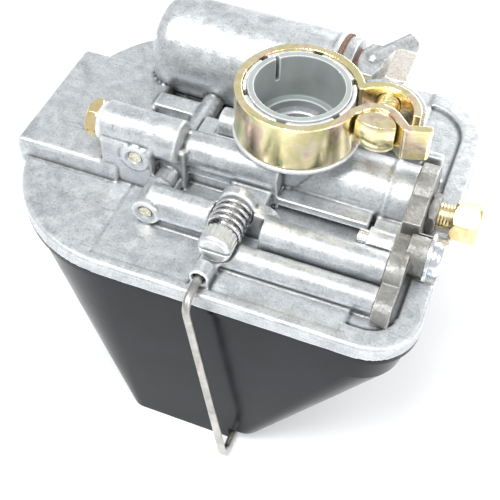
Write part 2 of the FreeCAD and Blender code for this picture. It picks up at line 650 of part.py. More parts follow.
def clamp_washer():
    """A saddle washer curved to the back of the arched ear."""
    inner = BACK_EAR_RADIUS + BAND_THICKNESS / 2
    outer = inner + WASHER_THICKNESS
    saddle = sector((BOLT_X, 0.0), outer, inner, *WASHER_ANGLES, -EAR_HEIGHT + 0.3, -0.3)
    return saddle.cut(rod("y", 0, 20, BOLT_X, BOLT_Z, BOLT_SHANK + LOOSE))


def clamp_nut():
    start = BACK_EAR_RADIUS + BAND_THICKNESS / 2 + WASHER_THICKNESS
    nut = hexagon("y", start, start + CLAMP_NUT_LENGTH, BOLT_X, BOLT_Z, CLAMP_NUT_FLATS, 0)
    return nut.cut(rod("y", 0, start + CLAMP_NUT_LENGTH - 2, BOLT_X, BOLT_Z, BOLT_SHANK))


# ---------------------------------------------------------------- throttle
def throttle_slide():
    """The slide: a cup open to the right, with a cutaway towards the air filter and a hole for the needle."""
    right = SLIDE_LEFT + SLIDE_LENGTH
    slide = rod("x", SLIDE_LEFT, right, 0, BARREL_Z, SLIDE_RADIUS)
    hollow = SLIDE_RADIUS - SLIDE_WALL
    slide = slide.cut(rod("x", SLIDE_LEFT + SLIDE_FLOOR, right + OVER, 0, BARREL_Z, hollow))
    bottom = BARREL_Z - SLIDE_RADIUS
    slide = slide.cut(taper("z", bottom - OVER, bottom + 2.2, SLIDE_LEFT - 2.5, 0, 6.0, 3.0))
    return slide.cut(rod("x", SLIDE_LEFT - OVER, SLIDE_LEFT + SLIDE_FLOOR + OVER, 0, BARREL_Z, NEEDLE_RADIUS))


def jet_needle():
    """The tapered needle, with a groove for its clip."""
    tip = SLIDE_LEFT - NEEDLE_LENGTH + 4
    clip = SLIDE_LEFT + CLIP_START
    shank = rod("x", tip + NEEDLE_TAPER, SLIDE_LEFT + 5.5, 0, BARREL_Z, NEEDLE_RADIUS)
    point = taper("x", tip, tip + NEEDLE_TAPER, 0, BARREL_Z, NEEDLE_TIP, NEEDLE_RADIUS)
    groove = ring("x", clip, clip + CLIP_THICKNESS, 0, BARREL_Z, NEEDLE_RADIUS + OVER,
                  NEEDLE_RADIUS - NEEDLE_GROOVE)
    return joined([shank, point]).cut(groove)


def needle_clip():
    """The open washer in the needle's groove."""
    start = SLIDE_LEFT + CLIP_START
    clip = ring("x", start + RUNNING, start + CLIP_THICKNESS - RUNNING, 0, BARREL_Z, CLIP_RADIUS,
                NEEDLE_RADIUS - NEEDLE_GROOVE)
    gap = block((start - OVER, start + OVER), (-0.6, 0.6), (BARREL_Z, BARREL_Z + 4))
    return clip.cut(gap)


def throttle_spring():
    """The spring that pushes the slide shut."""
    start = SLIDE_LEFT + SLIDE_FLOOR
    radius = SLIDE_RADIUS - SLIDE_WALL - THROTTLE_SPRING_AIR - THROTTLE_SPRING_WIRE
    return coil(start, BARREL_END - start, (0, BARREL_Z), radius, THROTTLE_SPRING_WIRE, THROTTLE_SPRING_TURNS)


def needle_jet():
    left = NEEDLE_JET_LEFT + FACE_GAP
    return ring("x", left, -AIR_BORE - 2, 0, BARREL_Z, NEEDLE_JET_RADIUS, NEEDLE_RADIUS + 0.15)


def cover_body(left, right):
    """The cover's outline, which follows the barrel and the two front tubes."""
    shapes = [rod("x", left, right, y, z, radius) for y, z, radius in COVER_LOBES]
    shapes += [block((left, right), y_range, z_range) for y_range, z_range in COVER_BRIDGES]
    return joined(shapes)


def throttle_cover():
    """The cover of the throttle barrel, with a boss for its screw."""
    boss = rod("x", COVER_RIGHT - OVER, BOSS_RIGHT, COVER_SCREW_Y, COVER_SCREW_Z, COVER_SCREW_BOSS)
    cover = joined([cover_body(BARREL_END, COVER_RIGHT), boss])
    reach = (BARREL_END - OVER, BOSS_RIGHT + OVER)
    over_rim = (PLATE_RIGHT - RIM_WIDTH - CLEAR, BOSS_RIGHT + OVER)
    whole_width = (-PLATE_HALF, PLATE_HALF)
    cuts = [block(reach, *COVER_SLOT),
            block(reach, whole_width, (BOX_FLOOR, PLATE_TOP + 0.2)),
            block(over_rim, whole_width, (BOX_FLOOR, RIM_TOP + FACE_GAP)),
            rod("x", *reach, ADJUSTER_Y, BARREL_Z, ADJUSTER_SHANK + RUNNING),
            rod("x", *reach, COVER_SCREW_Y, COVER_SCREW_Z, COVER_SCREW_SHANK + LOOSE)]
    return cover.cut(cuts)


def cover_washer():
    end = BOSS_RIGHT + COVER_WASHER_THICKNESS
    return ring("x", BOSS_RIGHT, end, COVER_SCREW_Y, COVER_SCREW_Z, COVER_WASHER, COVER_SCREW_SHANK + LOOSE)


def cover_screw():
    """A round-headed screw with a cross recess."""
    left = BOSS_RIGHT + COVER_WASHER_THICKNESS
    end = left + COVER_SCREW_HEAD_LENGTH
    head = domed("x", left, end, COVER_SCREW_Y, COVER_SCREW_Z, COVER_SCREW_HEAD, COVER_SCREW_ROUNDING)
    shank = rod("x", BARREL_END - COVER_SCREW_DEPTH, left + 0.5, COVER_SCREW_Y, COVER_SCREW_Z,
                COVER_SCREW_SHANK - 0.02)
    cross = []
    for half_y, half_z in ((CROSS_LENGTH, CROSS_WIDTH / 2), (CROSS_WIDTH / 2, CROSS_LENGTH)):
        cross.append(block((left + 0.9, end + OVER), (COVER_SCREW_Y - half_y, COVER_SCREW_Y + half_y),
                           (COVER_SCREW_Z - half_z, COVER_SCREW_Z + half_z)))
    return joined([head, shank]).cut(cross)


def adjuster_locknut():
    end = COVER_RIGHT + LOCKNUT_WIDTH
    nut = hexagon("x", COVER_RIGHT, end, ADJUSTER_Y, BARREL_Z, LOCKNUT_FLATS, 30)
    return nut.cut(rod("x", COVER_RIGHT - OVER, end + OVER, ADJUSTER_Y, BARREL_Z, ADJUSTER_SHANK + RUNNING))


def cable_adjuster():
    """The hollow hexagonal screw that the throttle cable's sheath ends in."""
    start = COVER_RIGHT + LOCKNUT_WIDTH + ADJUSTER_NECK
    end = start + ADJUSTER_HEX
    head = hexagon("x", start, end, ADJUSTER_Y, BARREL_Z, ADJUSTER_FLATS, 30)
    shank = rod("x", BARREL_END + 1, start + 1, ADJUSTER_Y, BARREL_Z, ADJUSTER_SHANK)
    seat = rod("x", start + 2, end + OVER, ADJUSTER_Y, BARREL_Z, SHEATH_SEAT)
    hole = rod("x", BARREL_END, end, ADJUSTER_Y, BARREL_Z, CABLE_HOLE)
    return joined([head, shank]).cut([hole, seat])


# ---------------------------------------------------------------- float chamber
def gasket(start, outer, inner):
    return ring("x", start, start + GASKET_THICKNESS, CHAMBER_Y, CHAMBER_Z, outer, inner).cut(band_room())


def bowl_cover():
    """The disc that closes the chamber and holds the float needle's seat."""
    start = CHAMBER_RIGHT + GASKET_THICKNESS
    end = start + COVER_RING
    recess = start - SEAT_RECESS
    disc = rod("x", start, end, CHAMBER_Y, CHAMBER_Z, CHAMBER_RADIUS - 0.3)
    plug = rod("x", recess - 0.2, start, CHAMBER_Y, CHAMBER_Z, CHAMBER_BORE - RUNNING)
    seat = rod("x", start - SEAT_LENGTH, start, CHAMBER_Y, CHAMBER_Z, SEAT_RADIUS)
    feed = rod("x", recess, end + OVER, CHAMBER_Y, CHAMBER_Z, SEAT_BORE)
    needle_room = rod("x", start - SEAT_LENGTH - OVER, recess, CHAMBER_Y, CHAMBER_Z, FLOAT_STEM + 0.5)
    return joined([disc, plug, seat]).cut([band_room(), feed, needle_room])


def fuel_inlet():
    """The hexagonal union with its angled hose spigot."""
    end = CAP_START + CAP_LENGTH
    cap = hexagon("x", CAP_START, end, CHAMBER_Y, CHAMBER_Z, CAP_FLATS, 0)
    knee = Vector(end - 2.8, CHAMBER_Y + 1, CHAMBER_Z + SPIGOT_RISE)
    direction = Vector(0.56, 0.83, 0).normalize()
    spigot = Part.makeCylinder(SPIGOT_RADIUS, SPIGOT_LENGTH, knee, direction)
    rounding = [e for e in spigot.Edges if e.Closed and (e.Curve.Center - knee).Length > SPIGOT_LENGTH - 0.1]
    spigot = spigot.makeFillet(SPIGOT_ROUNDING, rounding)
    body = joined([cap, spigot, Part.makeSphere(SPIGOT_RADIUS, knee)])
    chamber = rod("x", CAP_START - OVER, end - CAP_WALL, CHAMBER_Y, CHAMBER_Z, STRAINER_RADIUS + LOOSE)
    bore = Part.makeCylinder(SPIGOT_BORE, SPIGOT_LENGTH + OVER, knee, direction)
    feed = rod("z", CHAMBER_Z, CHAMBER_Z + SPIGOT_RISE, knee.x, knee.y, SPIGOT_BORE)
    return body.cut([chamber, bore, feed])


def inlet_strainer():
    start = CAP_START + 0.6
    return rod("x", start, start + STRAINER_THICKNESS, CHAMBER_Y, CHAMBER_Z, STRAINER_RADIUS)


def float_body():
    """The float: a round body with a hole for its needle's stem."""
    right = FLOAT_LEFT + FLOAT_LENGTH
    body = rod("x", FLOAT_LEFT, right, CHAMBER_Y, CHAMBER_Z, CHAMBER_BORE - CLEAR)
    circles = [e for e in body.Edges if e.Closed and isinstance(e.Curve, Part.Circle)]
    body = body.makeFillet(FLOAT_ROUNDING, circles)
    return body.cut(rod("x", FLOAT_LEFT - OVER, right + OVER, CHAMBER_Y, CHAMBER_Z, FLOAT_STEM))


def float_needle():
    seat_face = CHAMBER_RIGHT + GASKET_THICKNESS - SEAT_RECESS
    tip = seat_face - FLOAT_TRAVEL - FACE_GAP
    shoulder = tip - 1.4
    stem = rod("x", FLOAT_LEFT, shoulder, CHAMBER_Y, CHAMBER_Z, FLOAT_STEM)
    point = taper("x", shoulder, tip, CHAMBER_Y, CHAMBER_Z, FLOAT_STEM, FLOAT_TIP)
    return joined([stem, point])


# ---------------------------------------------------------------- jets and screws
def jet_plug():
    """The slotted hexagonal screw that closes the jet tube."""
    head_end = JET_TUBE_LEFT - GASKET_THICKNESS
    left = head_end - JET_PLUG_HEAD
    shank_end = JET_TUBE_LEFT + JET_PLUG_SHANK
    head = hexagon("x", left, head_end, JET_Y, JET_Z, JET_PLUG_FLATS, 0)
    shank = rod("x", head_end - 0.5, shank_end, JET_Y, JET_Z, JET_BORE)
    slot = block((left - OVER, left + SCREW_SLOT_DEPTH), (JET_Y - JET_PLUG_FLATS, JET_Y + JET_PLUG_FLATS),
                 (JET_Z - 0.5, JET_Z + 0.5))
    hollow = rod("x", JET_TUBE_LEFT, shank_end + OVER, JET_Y, JET_Z, 1.2)
    return joined([head, shank]).cut([slot, hollow])


def jet_plug_gasket():
    return ring("x", JET_TUBE_LEFT - GASKET_THICKNESS, JET_TUBE_LEFT, JET_Y, JET_Z, 4.2, JET_BORE)


def main_jet():
    """The jet behind the plug, with a screwdriver slot."""
    start = JET_TUBE_LEFT + JET_PLUG_SHANK
    end = start + JET_LENGTH
    jet = ring("x", start, end, JET_Y, JET_Z, JET_BORE - RUNNING, JET_HOLE)
    slot = block((end - 0.8, end + OVER), (JET_Y - JET_BORE, JET_Y + JET_BORE), (JET_Z - 0.35, JET_Z + 0.35))
    return jet.cut(slot)


def passage_plugs():
    """Two brass plugs pressed into the ends of the drilled passages."""
    first = rod("y", JET_FRONT + 0.1, JET_FRONT + 2.5, FIRST_PLUG_X, FIRST_PLUG_Z, FIRST_PLUG_RADIUS)
    second = rod("y", PASSAGE_FRONT + 0.5, PASSAGE_FRONT + 3.4, PLUG_X, PASSAGE_Z, PASSAGE_RADIUS)
    return Part.makeCompound([first, second])


def idle_spring():
    spring = coil(0, IDLE_SPRING_LENGTH, (0, 0), IDLE_SPRING_RADIUS, IDLE_SPRING_WIRE, IDLE_SPRING_TURNS)
    spring.rotate(Vector(0, 0, 0), AXES["z"], -90)
    spring.translate(Vector(IDLE_X, IDLE_BOSS_FACE, IDLE_Z))
    return spring


def idle_screw():
    """The idle screw, with a knurled and slotted head."""
    head_back = IDLE_BOSS_FACE - IDLE_SPRING_LENGTH
    head_front = head_back - IDLE_HEAD_LENGTH
    head = domed("y", head_front, head_back, IDLE_X, IDLE_Z, IDLE_HEAD, 1.0, at_end=False)
    cuts = []
    for i in range(IDLE_KNURLS):
        groove = rod("y", head_front + 1.4, head_back + OVER, IDLE_X + IDLE_HEAD, IDLE_Z, KNURL_RADIUS)
        groove.rotate(Vector(IDLE_X, 0, IDLE_Z), AXES["y"], 360 * i / IDLE_KNURLS)
        cuts.append(groove)
    half = SCREW_SLOT_WIDTH / 2
    cuts.append(block((IDLE_X - IDLE_HEAD - OVER, IDLE_X + IDLE_HEAD + OVER),
                      (head_front - OVER, head_front + SCREW_SLOT_DEPTH), (IDLE_Z - half, IDLE_Z + half)))
    shank = rod("y", head_back - 0.5, IDLE_TIP_START, IDLE_X, IDLE_Z, IDLE_SHANK)
    tip = taper("y", IDLE_TIP_START, IDLE_TIP_START + 1, IDLE_X, IDLE_Z, IDLE_SHANK, 0.8)
    return joined([head.cut(cuts), shank, tip])


# ---------------------------------------------------------------- air box, filter and bail
def box_shell(inset, top, floor):
    """The box's outer or inner form: a short steep shoulder, then walls that slope to the floor."""
    levels = [top, PLATE_BOTTOM - BOX_SHOULDER_DEPTH, floor]
    return Part.makeLoft([box_section(inset, z) for z in levels], True, True)


def air_box():
    """The open-topped box, with a rebate in its floor for the bail and an inlet slot in its back wall."""
    top = PLATE_BOTTOM
    inside = BOX_INSET + BOX_WALL
    outer = box_shell(BOX_INSET, top, BOX_FLOOR)
    inner = box_shell(inside, top + 0.01, BOX_FLOOR + BOX_WALL)
    lip = plate_slab(0.1, top - BOX_LIP, top).cut(plate_slab(inside, top - 2 * BOX_LIP, top + OVER))
    box = outer.cut(inner).fuse(lip).removeSplitter()
    # the rebate leaves room for the wire under the box, and for the arc it swings in
    groove_top = BOX_FLOOR + BAIL_REBATE
    left = BAIL_FOOT_X - BAIL_WIRE - CLEAR / 4
    whole_width = (-PLATE_HALF, PLATE_HALF)
    groove = block((left, BOX_FLOOR_RIGHT + 10), whole_width, (BOX_FLOOR - OVER, groove_top))
    patch = block((left - BOX_WALL, BOX_FLOOR_RIGHT + 4), whole_width, (BOX_FLOOR, groove_top + BOX_WALL))
    inlet = block(INLET_X, (PLATE_HALF - 10, PLATE_HALF + OVER), INLET_Z)
    return box.fuse(patch.common(outer)).cut([groove, inlet]).removeSplitter()


def box_section(inset, z):
    """The box's outline at a height: the plate's outline shrinking to the floor's as it goes down."""
    depth = (PLATE_BOTTOM - z) / BOX_DEPTH
    shoulder = BOX_SHOULDER_DEPTH / BOX_DEPTH
    left = PLATE_LEFT + (BOX_FLOOR_LEFT - PLATE_LEFT) * depth + inset
    if depth <= shoulder:
        right = PLATE_RIGHT + (BOX_SHOULDER_RIGHT - PLATE_RIGHT) * depth / shoulder - inset
    else:
        below = (depth - shoulder) / (1 - shoulder)
        right = BOX_SHOULDER_RIGHT + (BOX_FLOOR_RIGHT - BOX_SHOULDER_RIGHT) * below - inset
    half = PLATE_HALF - BOX_DRAFT * depth - inset
    corners = [top + (BOX_FLOOR_CORNER - top) * depth - inset
               for top in (PLATE_LEFT_CORNER, PLATE_FRONT_CORNER, PLATE_BACK_CORNER)]
    return rounded_outline(left, right, half, corners, z)


def air_filter():
    top = PLATE_BOTTOM - 3
    return ring("z", top - FILTER_LENGTH, top, 0, 0, FILTER_RADIUS, AIR_BORE + 2.2)


def wire_bail():
    """The sprung wire that holds the air box on: it pivots in the two bosses and crosses under the floor."""
    inside = BAIL_FACE - BAIL_HOLE_DEPTH + FACE_GAP
    outside = PLATE_HALF + BAIL_SIDE_GAP + BAIL_WIRE
    foot_z = BOX_FLOOR + BAIL_WIRE + BAIL_GROUND_GAP
    points = [Vector(BAIL_X, -inside, BAIL_Z), Vector(BAIL_X, -outside, BAIL_Z),
              Vector(BAIL_FOOT_X, -outside, foot_z), Vector(BAIL_FOOT_X, outside, foot_z),
              Vector(BAIL_X, outside, BAIL_Z), Vector(BAIL_X, inside, BAIL_Z)]
    return bent_wire(points, BAIL_BEND, BAIL_WIRE)


def bowl_gasket():
    return gasket(CHAMBER_RIGHT, CHAMBER_RADIUS + 0.2, CHAMBER_BORE)


def inlet_gasket():
    return gasket(CHAMBER_RIGHT + GASKET_THICKNESS + COVER_RING, 9.0, 6.5)


NODES = {
    "body_casting": body_casting,
    "insulating_bush": insulating_bush,
    "clamp_band": clamp_band,
    "clamp_bolt": clamp_bolt,
    "clamp_washer": clamp_washer,
    "clamp_nut": clamp_nut,
    "throttle_slide": throttle_slide,
    "jet_needle": jet_needle,
    "needle_clip": needle_clip,
    "throttle_spring": throttle_spring,
    "needle_jet": needle_jet,
    "throttle_cover": throttle_cover,
    "cover_washer": cover_washer,
    "cover_screw": cover_screw,
    "adjuster_locknut": adjuster_locknut,
    "cable_adjuster": cable_adjuster,
    "bowl_gasket": bowl_gasket,
    "bowl_cover": bowl_cover,
    "inlet_gasket": inlet_gasket,
    "fuel_inlet": fuel_inlet,
    "inlet_strainer": inlet_strainer,
    "float": float_body,
    "float_needle": float_needle,
    "jet_plug": jet_plug,
    "jet_plug_gasket": jet_plug_gasket,
    "main_jet": main_jet,
    "passage_plugs": passage_plugs,
    "idle_screw": idle_screw,
    "idle_spring": idle_spring,
    "air_box": air_box,
    "air_filter": air_filter,
    "wire_bail": wire_bail,
}

os.makedirs("parts", exist_ok=True)
for name, make in NODES.items():
    shape = make()
    shape.exportStep("parts/" + name + ".step")
    box = shape.BoundBox
    print(name, len(shape.Solids), round(shape.Volume, 1), shape.isValid(),
          [round(v, 1) for v in (box.XMin, box.XMax, box.YMin, box.YMax, box.ZMin, box.ZMax)])
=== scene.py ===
import json
import math

import bmesh
import bpy
from mathutils import Matrix, Vector


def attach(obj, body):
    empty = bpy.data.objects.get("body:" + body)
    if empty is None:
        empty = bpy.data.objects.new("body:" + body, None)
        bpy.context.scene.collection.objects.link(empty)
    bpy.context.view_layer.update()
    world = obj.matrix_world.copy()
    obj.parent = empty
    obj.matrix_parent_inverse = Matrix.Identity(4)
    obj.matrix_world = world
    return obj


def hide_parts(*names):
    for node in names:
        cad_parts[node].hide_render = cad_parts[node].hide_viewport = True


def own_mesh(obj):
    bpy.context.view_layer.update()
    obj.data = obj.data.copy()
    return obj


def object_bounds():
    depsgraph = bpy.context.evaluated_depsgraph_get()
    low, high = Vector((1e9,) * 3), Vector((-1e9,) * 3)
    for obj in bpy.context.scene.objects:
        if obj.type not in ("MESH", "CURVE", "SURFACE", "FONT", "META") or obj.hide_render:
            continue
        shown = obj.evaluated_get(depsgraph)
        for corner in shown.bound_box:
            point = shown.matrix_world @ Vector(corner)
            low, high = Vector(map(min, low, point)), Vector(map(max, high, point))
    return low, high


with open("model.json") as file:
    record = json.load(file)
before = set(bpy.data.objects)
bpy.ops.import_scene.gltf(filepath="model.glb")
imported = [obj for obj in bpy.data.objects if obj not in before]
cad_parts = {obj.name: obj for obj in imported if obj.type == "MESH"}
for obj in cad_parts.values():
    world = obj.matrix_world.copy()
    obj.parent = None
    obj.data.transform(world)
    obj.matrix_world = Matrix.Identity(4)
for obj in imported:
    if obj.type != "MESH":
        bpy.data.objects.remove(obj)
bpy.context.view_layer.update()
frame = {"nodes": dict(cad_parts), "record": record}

NODES = frame["nodes"]
BODIES = {n: b for b, names in frame["record"]["behaviour"]["bodies"].items() for n in names}
MM = 0.001

# Places and sizes of the object that are repeated here, in millimetres of the row frame.
BARREL_Z = -24.0
BARREL_RADIUS = 8.0
CHAMBER_Y, CHAMBER_Z = 23.0, -17.0
CHAMBER_RADIUS = 11.6
CHAMBER_END = 2.4
BOLT_X, BOLT_Z = 17.7, -4.0
BOLT_THREAD_START = 0.2
BOLT_CREST = 2.42
ADJUSTER_Y = -1.6
ADJUSTER_NECK_START = 33.9
ADJUSTER_CREST = 2.5
THREAD_LEAN = 0.03      # how far a thread's crest leans for each unit along its axis
BARREL_SEAMS = ((-0.9, 0.35), (22.6, 0.40))     # each seam's place along X and the radius of its section
CHAMBER_SEAM = 0.45
SEAM_DEPTH = 0.1        # how far the middle of a raised seam lies below the surface
FLOOR_GAP = 0.02        # air between the object and the floor
FLOOR_HALF = 1.5        # half the floor's width, in metres
WHITE = (1, 1, 1)

# The camera's place in metres, the directions of its right, up and back, and its lens in millimetres.
CAMERA_PLACE = (0.04397, -0.14643, 0.13107)
CAMERA_AXES = ((0.9317, 0.3630, 0.0145), (-0.2885, 0.7150, 0.6368), (0.2207, -0.5975, 0.7709))
CAMERA_LENS = 69.29
CAMERA_SENSOR = 36.0
CAMERA_NEAR = 0.01

# Each light: its name, place, target, size and power, in metres and watts.
LIGHTS = (
    ("key", (-0.12, -0.20, 0.48), (-0.01, 0, -0.03), (0.28, 0.28), 2.8),
    ("back", (0.14, 0.46, 0.15), (0, 0, -0.02), (0.40, 0.16), 1.6),
    ("side", (0.42, -0.16, 0.26), (0, 0, -0.04), (0.22, 0.25), 1.0),
)
SKY_COLOR = (0.96, 0.98, 1.0)
SKY_STRENGTH = 0.75


# ---------------------------------------------------------------- camera, light and floor
def add_camera():
    """A long lens that looks down on the front of the object from its right."""
    camera = bpy.data.objects.new("camera", bpy.data.cameras.new("camera"))
    bpy.context.scene.collection.objects.link(camera)
    turn = Matrix(CAMERA_AXES).transposed()
    camera.matrix_world = Matrix.Translation(CAMERA_PLACE) @ turn.to_4x4()
    camera.data.lens = CAMERA_LENS
    camera.data.sensor_width = CAMERA_SENSOR
    camera.data.clip_start = CAMERA_NEAR
    bpy.context.scene.camera = camera


def add_light(name, place, target, size, power):
    """A soft box at a place in metres, turned to its target."""
    data = bpy.data.lights.new(name, "AREA")
    data.shape = "RECTANGLE"
    data.size, data.size_y = size
    data.energy = power
    light = bpy.data.objects.new(name, data)
    bpy.context.scene.collection.objects.link(light)
    light.location = place
    light.rotation_euler = (Vector(place) - Vector(target)).to_track_quat("Z", "Y").to_euler()


def add_world():
    """An even, slightly cool sky."""
    world = bpy.data.worlds.new("studio")
    world.use_nodes = True
    sky = world.node_tree.nodes["Background"]
    sky.inputs["Color"].default_value = SKY_COLOR + (1,)
    sky.inputs["Strength"].default_value = SKY_STRENGTH
    bpy.context.scene.world = world


def add_floor():
    """Plain white paper under the object."""
    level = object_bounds()[0][2] - FLOOR_GAP * MM
    mesh = bpy.data.meshes.new("floor")
    half = FLOOR_HALF
    corners = [(-half, -half, level), (half, -half, level), (half, half, level), (-half, half, level)]
    mesh.from_pydata(corners, [], [(0, 1, 2, 3)])
    floor = bpy.data.objects.new("floor", mesh)
    bpy.context.scene.collection.objects.link(floor)
    look = Look("floor_paper", Roughness=0.75, Specular_IOR_Level=0.2, Emission_Strength=0.08,
                Emission_Color=WHITE + (1,))
    grain = look.noise(0.6, detail=2)
    look.color(look.blend(grain, (0.90, 0.905, 0.91), (0.93, 0.933, 0.935)))
    look.bump(grain, 0.02, 0.3)
    mesh.materials.append(look.material)


# ---------------------------------------------------------------- materials
class Look:
    """A procedural material, whose textures are measured in millimetres of the row frame."""

    def __init__(self, name, **sockets):
        self.material = bpy.data.materials.new(name)
        self.material.use_nodes = True
        self.tree = self.material.node_tree
        self.shader = self.tree.nodes["Principled BSDF"]
        for socket, value in sockets.items():
            self.shader.inputs[socket.replace("_", " ")].default_value = value
        place = self.tree.nodes.new("ShaderNodeTexCoord")
        self.space = self.scaled(place.outputs["Object"], (1000, 1000, 1000))

    def join(self, output, socket):
        self.tree.links.new(output, socket)

    def scaled(self, vector, scale):
        mapping = self.tree.nodes.new("ShaderNodeMapping")
        mapping.inputs["Scale"].default_value = scale
        self.join(vector, mapping.inputs["Vector"])
        return mapping.outputs["Vector"]

    def noise(self, size, detail=3, stretch=(1, 1, 1), distortion=0.0):
        """Soft noise whose features are about size millimetres, longer along an axis with a small stretch."""
        node = self.tree.nodes.new("ShaderNodeTexNoise")
        node.inputs["Scale"].default_value = 1 / size
        node.inputs["Detail"].default_value = detail
        node.inputs["Distortion"].default_value = distortion
        self.join(self.scaled(self.space, stretch), node.inputs["Vector"])
        return node.outputs["Fac"]

    def cells(self, size):
        """Distance to the nearest of scattered points."""
        node = self.tree.nodes.new("ShaderNodeTexVoronoi")
        node.inputs["Scale"].default_value = 1 / size
        self.join(self.space, node.inputs["Vector"])
        return node.outputs["Distance"]

    def edges(self, low, high):
        """Rises from 0 to 1 towards a sharp edge, or towards a crease if high is below low."""
        geometry = self.tree.nodes.new("ShaderNodeNewGeometry")
        return self.span(geometry.outputs["Pointiness"], low, high, 0, 1)

    def span(self, value, low, high, start, end):
        """Maps a range of a value onto another range, and holds it at the ends."""
        node = self.tree.nodes.new("ShaderNodeMapRange")
        for name, number in (("From Min", low), ("From Max", high), ("To Min", start), ("To Max", end)):
            node.inputs[name].default_value = number
        self.join(value, node.inputs["Value"])
        return node.outputs["Result"]

    def blend(self, factor, first, second):
        """Mixes two colours, each a colour or a node's output."""
        node = self.tree.nodes.new("ShaderNodeMix")
        node.data_type = "RGBA"
        self.join(factor, node.inputs["Factor"])
        for socket, value in ((node.inputs[6], first), (node.inputs[7], second)):
            if isinstance(value, tuple):
                socket.default_value = value + (1,)
            else:
                self.join(value, socket)
        return node.outputs[2]

    def ramp(self, value, stops):
        """A colour picked from several by a value, each given with its place from 0 to 1."""
        node = self.tree.nodes.new("ShaderNodeValToRGB")
        while len(node.color_ramp.elements) < len(stops):
            node.color_ramp.elements.new(0.5)
        for element, (where, color) in zip(node.color_ramp.elements, stops):
            element.position = where
            element.color = color + (1,)
        self.join(value, node.inputs["Fac"])
        return node.outputs["Color"]

    def color(self, output):
        self.join(output, self.shader.inputs["Base Color"])

    def roughness(self, value, start, end):
        """Roughness that follows a noise."""
        self.join(self.span(value, 0.3, 0.7, start, end), self.shader.inputs["Roughness"])

    def bump(self, height, distance, strength=1.0):
        """Adds a bump of the given depth in millimetres on top of those before it."""
        node = self.tree.nodes.new("ShaderNodeBump")
        node.inputs["Strength"].default_value = strength
        node.inputs["Distance"].default_value = distance * MM
        self.join(height, node.inputs["Height"])
        before = self.shader.inputs["Normal"].links
        if before:
            self.join(before[0].from_socket, node.inputs["Normal"])
        self.join(node.outputs["Normal"], self.shader.inputs["Normal"])


def cast_zinc():
    """Die-cast alloy: dull grey mottle with smudges, burnished edges, painted shade in the creases, scratches
    and small pits.
    """
    look = Look("cast_zinc", Metallic=0.62, IOR=1.7, Specular_IOR_Level=0.6)
    mottle = look.noise(2.4, detail=6, distortion=0.3)
    smudge = look.noise(8.0, detail=4, distortion=0.9)
    flecks = look.noise(0.5, detail=3)
    # mottle and grain, bright worn edges, and painted shade that darkens the creases
    base = look.blend(look.span(mottle, 0.30, 0.70, 0, 1), (0.46, 0.48, 0.495), (0.60, 0.62, 0.635))
    base = look.blend(look.span(smudge, 0.48, 0.74, 0, 0.55), base, (0.25, 0.27, 0.285))
    base = look.blend(look.span(flecks, 0.56, 0.72, 0, 0.6), base, (0.74, 0.75, 0.76))
    base = look.blend(look.span(flecks, 0.30, 0.44, 0.55, 0), base, (0.22, 0.23, 0.24))
    base = look.blend(look.edges(0.508, 0.55), base, (0.82, 0.83, 0.83))
    # painted shade: creases darkened as if shade fell in them
    base = look.blend(look.edges(0.496, 0.468), base, (0.09, 0.09, 0.09))
    # scratches both ways, and scattered pits
    long_scratches = look.noise(1.0, detail=2, stretch=(0.10, 1.7, 1.7), distortion=0.4)
    cross_scratches = look.noise(0.9, detail=2, stretch=(1.5, 0.12, 1.5), distortion=0.5)
    pits = look.cells(2.3)
    base = look.blend(look.span(cross_scratches, 0.68, 0.76, 0, 0.35), base, (0.72, 0.73, 0.73))
    base = look.blend(look.span(long_scratches, 0.65, 0.73, 0, 0.4), base, (0.20, 0.21, 0.21))
    base = look.blend(look.span(pits, 0.04, 0.10, 0.6, 0), base, (0.12, 0.12, 0.12))
    look.color(base)
    look.roughness(mottle, 0.30, 0.48)
    look.bump(look.noise(0.35, detail=3), 0.05, 0.7)
    look.bump(look.noise(2.8, detail=3), 0.15, 0.5)
    look.bump(look.span(long_scratches, 0.62, 0.73, 1, 0), 0.025, 0.5)
    look.bump(look.span(cross_scratches, 0.66, 0.76, 1, 0), 0.02, 0.4)
    look.bump(look.span(pits, 0.03, 0.10, 0, 1), 0.06, 0.7)
    return look.material


def rough_cast(name, dark, light, roughness):
    """Dull sand-textured casting."""
    look = Look(name, Metallic=0.75)
    grain = look.noise(0.55, detail=4)
    patches = look.noise(3.5, detail=4, distortion=0.5)
    base = look.blend(look.span(patches, 0.3, 0.72, 0, 1), dark, light)
    base = look.blend(look.edges(0.51, 0.57), base, tuple(min(1, 1.6 * c) for c in light))
    base = look.blend(look.span(grain, 0.2, 0.45, 0.45, 0), base, (0.10, 0.10, 0.095))
    look.color(base)
    look.roughness(grain, roughness, roughness + 0.2)
    look.bump(grain, 0.12, 0.8)
    look.bump(patches, 0.25, 0.5)
    return look.material


def plated(name, stops, size, roughness, marks=0.02):
    """Plated steel whose tint drifts over the surface."""
    look = Look(name, Metallic=1.0)
    drift = look.noise(size, detail=2, distortion=1.2)
    fine = look.noise(0.5, detail=4)
    base = look.ramp(look.span(drift, 0.3, 0.7, 0, 1), stops)
    base = look.blend(look.span(fine, 0.62, 0.8, 0, 0.5), base, (0.30, 0.26, 0.20))
    look.color(base)
    look.roughness(fine, roughness, roughness + 0.14)
    look.bump(fine, marks, 0.6)
    look.bump(look.noise(0.9, detail=1, stretch=(1, 1, 0.15)), marks, 0.4)
    return look.material


def turned(name, dark, light, roughness):
    """Machined metal with fine rings round the X axis."""
    look = Look(name, Metallic=1.0)
    rings = look.noise(0.35, detail=2, stretch=(3.0, 0.05, 0.05))
    tarnish = look.noise(1.8, detail=4, distortion=0.6)
    look.color(look.blend(look.span(tarnish, 0.3, 0.72, 0, 1), light, dark))
    look.roughness(tarnish, roughness, roughness + 0.16)
    look.bump(rings, 0.006, 0.4)
    look.bump(look.noise(0.7, detail=2), 0.006, 0.3)
    return look.material


